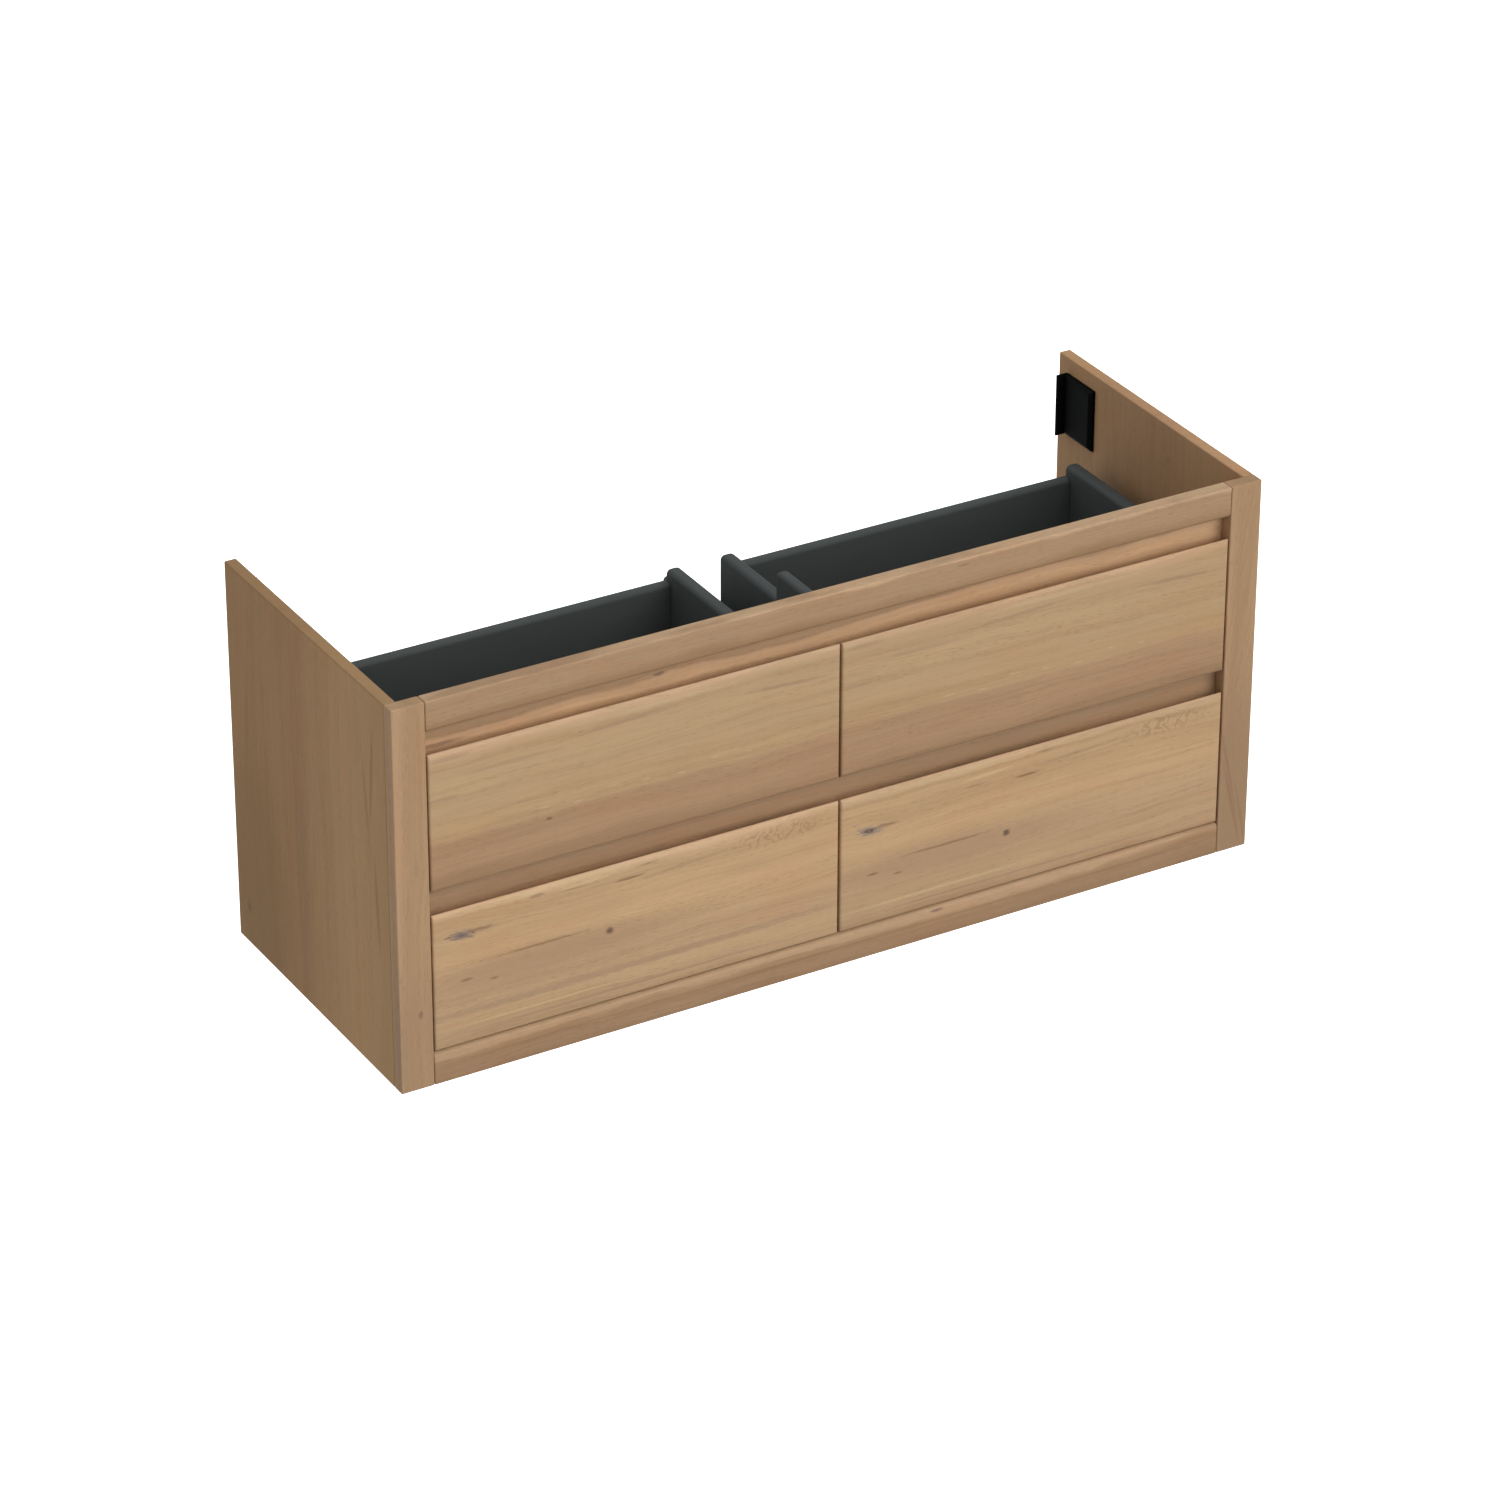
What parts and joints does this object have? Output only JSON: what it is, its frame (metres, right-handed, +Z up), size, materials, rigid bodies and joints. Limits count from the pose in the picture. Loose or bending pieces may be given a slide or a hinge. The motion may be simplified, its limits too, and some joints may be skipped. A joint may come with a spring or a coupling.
{
  "type": "bathroom vanity cabinet",
  "caption": "Wall-hung vanity cabinet: an open-topped oak carcass with a face frame, side-by-side drawers in rows, finger grips and concealed runners.",
  "frame": {"origin": "middle of the cabinet's footprint, in the plane of its underside", "axes": "+Z up, +X to the right seen from the front, -Y out of the drawer fronts, +Y towards the wall"},
  "size_m": [1.2, 0.436, 0.515],
  "materials": {
    "oak": "light natural oak, matt lacquer",
    "grey_board": "dark grey matt foil on board",
    "black_steel": "black satin powder coat",
    "zinc_steel": "bright zinc plate"
  },
  "bodies": {
    "carcass": {"left_side_panel": "oak", "right_side_panel": "oak", "left_stile": "oak", "right_stile": "oak", "top_rail": "oak", "bottom_rail": "oak", "upper_crossbar": "oak", "middle_crossbar": "oak", "centre_partition": "grey_board", "rear_brace": "oak", "left_outer_packer": "grey_board", "right_outer_packer": "grey_board", "left_inner_packer": "grey_board", "right_inner_packer": "grey_board", "left_hanger": "black_steel", "right_hanger": "black_steel", "upper_left_drawer_left_runner_fixed": "zinc_steel", "upper_left_drawer_right_runner_fixed": "zinc_steel", "upper_right_drawer_left_runner_fixed": "zinc_steel", "upper_right_drawer_right_runner_fixed": "zinc_steel", "lower_left_drawer_left_runner_fixed": "zinc_steel", "lower_left_drawer_right_runner_fixed": "zinc_steel", "lower_right_drawer_left_runner_fixed": "zinc_steel", "lower_right_drawer_right_runner_fixed": "zinc_steel"},
    "upper_left_drawer": {"upper_left_drawer_front": "oak", "upper_left_drawer_left_side": "grey_board", "upper_left_drawer_right_side": "grey_board", "upper_left_drawer_back": "grey_board", "upper_left_drawer_bottom": "grey_board", "upper_left_drawer_left_runner_top": "zinc_steel", "upper_left_drawer_right_runner_top": "zinc_steel"},
    "upper_right_drawer": {"upper_right_drawer_front": "oak", "upper_right_drawer_left_side": "grey_board", "upper_right_drawer_right_side": "grey_board", "upper_right_drawer_back": "grey_board", "upper_right_drawer_bottom": "grey_board", "upper_right_drawer_left_runner_top": "zinc_steel", "upper_right_drawer_right_runner_top": "zinc_steel"},
    "lower_left_drawer": {"lower_left_drawer_front": "oak", "lower_left_drawer_left_side": "grey_board", "lower_left_drawer_right_side": "grey_board", "lower_left_drawer_back": "grey_board", "lower_left_drawer_bottom": "grey_board", "lower_left_drawer_left_runner_top": "zinc_steel", "lower_left_drawer_right_runner_top": "zinc_steel"},
    "lower_right_drawer": {"lower_right_drawer_front": "oak", "lower_right_drawer_left_side": "grey_board", "lower_right_drawer_right_side": "grey_board", "lower_right_drawer_back": "grey_board", "lower_right_drawer_bottom": "grey_board", "lower_right_drawer_left_runner_top": "zinc_steel", "lower_right_drawer_right_runner_top": "zinc_steel"},
    "upper_left_drawer_left_runner_middle": {"upper_left_drawer_left_runner_middle": "zinc_steel"},
    "upper_left_drawer_right_runner_middle": {"upper_left_drawer_right_runner_middle": "zinc_steel"},
    "upper_right_drawer_left_runner_middle": {"upper_right_drawer_left_runner_middle": "zinc_steel"},
    "upper_right_drawer_right_runner_middle": {"upper_right_drawer_right_runner_middle": "zinc_steel"},
    "lower_left_drawer_left_runner_middle": {"lower_left_drawer_left_runner_middle": "zinc_steel"},
    "lower_left_drawer_right_runner_middle": {"lower_left_drawer_right_runner_middle": "zinc_steel"},
    "lower_right_drawer_left_runner_middle": {"lower_right_drawer_left_runner_middle": "zinc_steel"},
    "lower_right_drawer_right_runner_middle": {"lower_right_drawer_right_runner_middle": "zinc_steel"}
  },
  "joints": [
    {"name": "upper_left_drawer_slide", "type": "slide", "parent": "carcass", "child": "upper_left_drawer", "axis": [0, -1, 0], "range_m": [0, 0.3]},
    {"name": "upper_right_drawer_slide", "type": "slide", "parent": "carcass", "child": "upper_right_drawer", "axis": [0, -1, 0], "range_m": [0, 0.3]},
    {"name": "lower_left_drawer_slide", "type": "slide", "parent": "carcass", "child": "lower_left_drawer", "axis": [0, -1, 0], "range_m": [0, 0.3]},
    {"name": "lower_right_drawer_slide", "type": "slide", "parent": "carcass", "child": "lower_right_drawer", "axis": [0, -1, 0], "range_m": [0, 0.3]},
    {"name": "upper_left_drawer_left_middle_slide", "type": "slide", "parent": "carcass", "child": "upper_left_drawer_left_runner_middle", "axis": [0, -1, 0], "range_m": [0, 0.15]},
    {"name": "upper_left_drawer_right_middle_slide", "type": "slide", "parent": "carcass", "child": "upper_left_drawer_right_runner_middle", "axis": [0, -1, 0], "range_m": [0, 0.15]},
    {"name": "upper_right_drawer_left_middle_slide", "type": "slide", "parent": "carcass", "child": "upper_right_drawer_left_runner_middle", "axis": [0, -1, 0], "range_m": [0, 0.15]},
    {"name": "upper_right_drawer_right_middle_slide", "type": "slide", "parent": "carcass", "child": "upper_right_drawer_right_runner_middle", "axis": [0, -1, 0], "range_m": [0, 0.15]},
    {"name": "lower_left_drawer_left_middle_slide", "type": "slide", "parent": "carcass", "child": "lower_left_drawer_left_runner_middle", "axis": [0, -1, 0], "range_m": [0, 0.15]},
    {"name": "lower_left_drawer_right_middle_slide", "type": "slide", "parent": "carcass", "child": "lower_left_drawer_right_runner_middle", "axis": [0, -1, 0], "range_m": [0, 0.15]},
    {"name": "lower_right_drawer_left_middle_slide", "type": "slide", "parent": "carcass", "child": "lower_right_drawer_left_runner_middle", "axis": [0, -1, 0], "range_m": [0, 0.15]},
    {"name": "lower_right_drawer_right_middle_slide", "type": "slide", "parent": "carcass", "child": "lower_right_drawer_right_runner_middle", "axis": [0, -1, 0], "range_m": [0, 0.15]}
  ],
  "couplings": [
    {"joint": "upper_left_drawer_left_middle_slide", "follows": "upper_left_drawer_slide", "ratio": 0.5},
    {"joint": "upper_left_drawer_right_middle_slide", "follows": "upper_left_drawer_slide", "ratio": 0.5},
    {"joint": "upper_right_drawer_left_middle_slide", "follows": "upper_right_drawer_slide", "ratio": 0.5},
    {"joint": "upper_right_drawer_right_middle_slide", "follows": "upper_right_drawer_slide", "ratio": 0.5},
    {"joint": "lower_left_drawer_left_middle_slide", "follows": "lower_left_drawer_slide", "ratio": 0.5},
    {"joint": "lower_left_drawer_right_middle_slide", "follows": "lower_left_drawer_slide", "ratio": 0.5},
    {"joint": "lower_right_drawer_left_middle_slide", "follows": "lower_right_drawer_slide", "ratio": 0.5},
    {"joint": "lower_right_drawer_right_middle_slide", "follows": "lower_right_drawer_slide", "ratio": 0.5}
  ]
}
